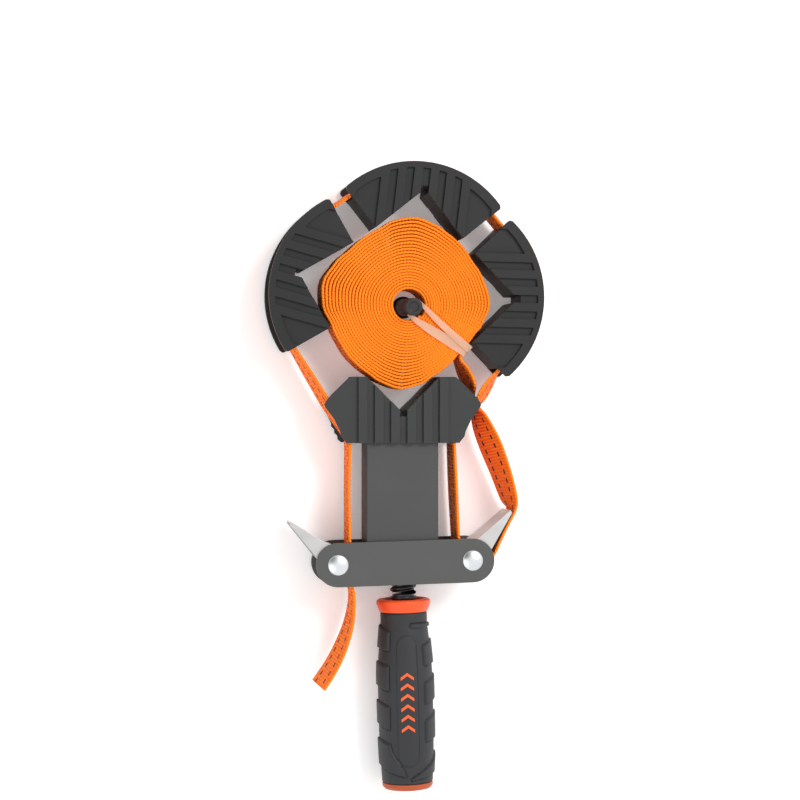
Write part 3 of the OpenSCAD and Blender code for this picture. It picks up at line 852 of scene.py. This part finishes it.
def studio():
    """Bright even surround with one darker patch, and two soft lamps."""
    world = bpy.data.worlds.new("studio")
    bpy.context.scene.world = world
    world.use_nodes = True
    tree = world.node_tree
    sky = tree.nodes["Background"]
    sky.inputs["Strength"].default_value = 1.1
    toward = add_node(tree, "ShaderNodeVectorMath", operation="DOT_PRODUCT")
    toward.inputs[1].default_value = (-0.48, 0.52, 0.70)
    patch = add_node(tree, "ShaderNodeMapRange", interpolation_type="SMOOTHSTEP")
    patch.inputs["From Min"].default_value = 0.80
    patch.inputs["From Max"].default_value = 0.96
    patch.inputs["To Min"].default_value = 1.0
    patch.inputs["To Max"].default_value = 0.22
    tree.links.new(add_node(tree, "ShaderNodeTexCoord").outputs["Generated"],
                   toward.inputs[0])
    tree.links.new(toward.outputs["Value"], patch.inputs["Value"])
    tree.links.new(patch.outputs["Result"], sky.inputs["Color"])
    lamp("key", (0.62, 0.66, 1.15), (0, 0.09, 0), 0.5, 9)
    lamp("fill", (-0.9, -0.5, 1.2), (0, 0.09, 0), 1.2, 3)
    view = bpy.context.scene.view_settings
    view.view_transform = "Standard"
    view.look = "None"


def camera():
    """Straight above, leaning in from the left by a few degrees."""
    lean = math.radians(8.0)
    target = Vector((-0.0018, 0.0905, 0.031))
    back = Vector((-math.sin(lean), 0, math.cos(lean)))
    data = bpy.data.cameras.new("camera")
    data.sensor_width = 36
    data.lens = 97.9
    data.clip_start, data.clip_end = 0.05, 10
    obj = bpy.data.objects.new("camera", data)
    bpy.context.scene.collection.objects.link(obj)
    right = Vector((math.cos(lean), 0, math.sin(lean)))
    up = back.cross(right)
    obj.matrix_world = Matrix.Translation(target + back * 1.2077) @ Matrix(
        (right, up, back)).transposed().to_4x4()
    bpy.context.scene.camera = obj


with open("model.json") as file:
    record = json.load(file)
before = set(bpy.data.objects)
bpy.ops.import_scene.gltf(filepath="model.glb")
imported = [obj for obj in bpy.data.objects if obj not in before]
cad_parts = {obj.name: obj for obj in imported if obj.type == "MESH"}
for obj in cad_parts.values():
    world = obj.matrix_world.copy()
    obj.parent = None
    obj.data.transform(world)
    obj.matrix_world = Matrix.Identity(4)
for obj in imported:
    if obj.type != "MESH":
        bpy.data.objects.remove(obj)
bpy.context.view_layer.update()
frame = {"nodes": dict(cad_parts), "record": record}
BODY = {node: body
        for body, nodes in frame["record"]["behaviour"]["bodies"].items()
        for node in nodes}
GRAIN = surface_grain()

NYLON = coated("jaw_nylon", (0.016, 0.016, 0.016), (0.040, 0.040, 0.040),
               0.55, 1400.0, 0.00006, mottle=0.3, Specular_IOR_Level=0.26)
HEAD_NYLON = coated("head_nylon", (0.030, 0.031, 0.031), (0.06, 0.06, 0.06),
                    0.55, 1400.0, 0.00006, mottle=0.3, Specular_IOR_Level=0.3)
POWDER = coated("powder_coat", (0.050, 0.051, 0.050), (0.085, 0.085, 0.085),
                0.5, 1900.0, 0.00010, mottle=0.25, Specular_IOR_Level=0.4)
PLATE = coated("plate_coat", (0.066, 0.068, 0.065), (0.10, 0.10, 0.10),
               0.42, 1500.0, 0.00004, mottle=0.2, Specular_IOR_Level=0.45)
GRIP = coated("soft_grip", (0.028, 0.029, 0.031), (0.05, 0.052, 0.054),
              0.56, 2400.0, 0.00005, mottle=0.2, Specular_IOR_Level=0.3)
# Dark peg plastic, also on the peg's base disc, which is painted shade filling the
# bottom of the roll's eye.
PEG_AND_EYE_SHADE = coated("peg_plastic", (0.016, 0.016, 0.017), (0.04, 0.04, 0.042),
             0.42, 900.0, 0.00004, Specular_IOR_Level=0.35)
ORANGE_PLASTIC = coated("orange_plastic", (0.86, 0.085, 0.016),
                        (0.92, 0.16, 0.05), 0.4, 700.0, 0.00002, mottle=0.2,
                        Specular_IOR_Level=0.35)
# A darker orange for the end cap than the collar's, with pale rubbed patches.
DARKER_CAP_ORANGE = coated("darker_cap_orange", (0.42, 0.075, 0.026),
                        (0.60, 0.13, 0.05), 0.5, 700.0, 0.00003, mottle=0.4,
                        Specular_IOR_Level=0.3)
PRINT = coated("orange_print", (0.90, 0.12, 0.03), (0.7, 0.09, 0.03),
               0.5, 1500.0, 0.00002, mottle=0.3, Specular_IOR_Level=0.3)
BLACK_SCREW = coated("black_screw", (0.010, 0.010, 0.012), (0.05, 0.05, 0.055),
                     0.28, 500.0, 0.00003, mottle=0.3)
CORE = coated("core_plastic", (0.04, 0.04, 0.042), (0.08, 0.08, 0.08),
              0.45, 900.0, 0.00003)
ZINC = brushed("zinc_plate", (0.78, 0.80, 0.82), 0.26, (1, 1, 1), 0.00002)
LEVER = brushed("lever_sheet", (0.60, 0.59, 0.58), 0.42, (1, 9, 9), 0.00003)
STEEL = brushed("plain_steel", (0.52, 0.53, 0.55), 0.38, (1, 8, 1), 0.00003)
SPRING = brushed("spring_wire", (0.42, 0.42, 0.44), 0.32, (6, 6, 1), 0.00002)
WEBBING = webbing_face()
WEBBING_EDGE = webbing_edge()
ELASTIC = elastic_rubber()

camera()
studio()
table_top()

softened("head_jaw", HEAD_NYLON, 0.28)
for jaw in ("jaw_left", "jaw_top", "jaw_right"):
    softened(jaw, NYLON, 0.28)
softened("channel", POWDER, 0.5)
for plate in ("plate_front", "plate_rear"):
    softened(plate, PLATE, 0.4)
for lever in ("lever_left", "lever_right"):
    softened(lever, LEVER, 0.2)
softened("handle_collar", ORANGE_PLASTIC, 0.3)
softened("end_cap", DARKER_CAP_ORANGE, 0.3)
# The peg's dark base disc at the bottom of the roll's eye is painted shade for the
# deep hole.
softened("storage_peg", PEG_AND_EYE_SHADE, 0.25)
for node in ("thrust_seat", "spindle_nut", "anvil_left", "anvil_right"):
    softened(node, STEEL, 0.3)
softened("thrust_ring", BLACK_SCREW, 0.2)
for node, material in (("head_pin_left", ZINC), ("head_pin_right", ZINC),
                       ("nut_screws", ZINC), ("handle_pin", STEEL),
                       ("handle_core", CORE)):
    cad = frame["nodes"][node]
    cad.data.materials.clear()
    cad.data.materials.append(material)

band_length = working_band()
roll_length = band_roll()
threaded_spindle()
grip()
panel_chevrons()
domed_rivets()
coil_spring("lever_spring_left", "left_lever", -RIVET_X)
coil_spring("lever_spring_right", "right_lever", RIVET_X)
elastic_band()
print("band", round(band_length), "mm, roll", round(roll_length), "mm")
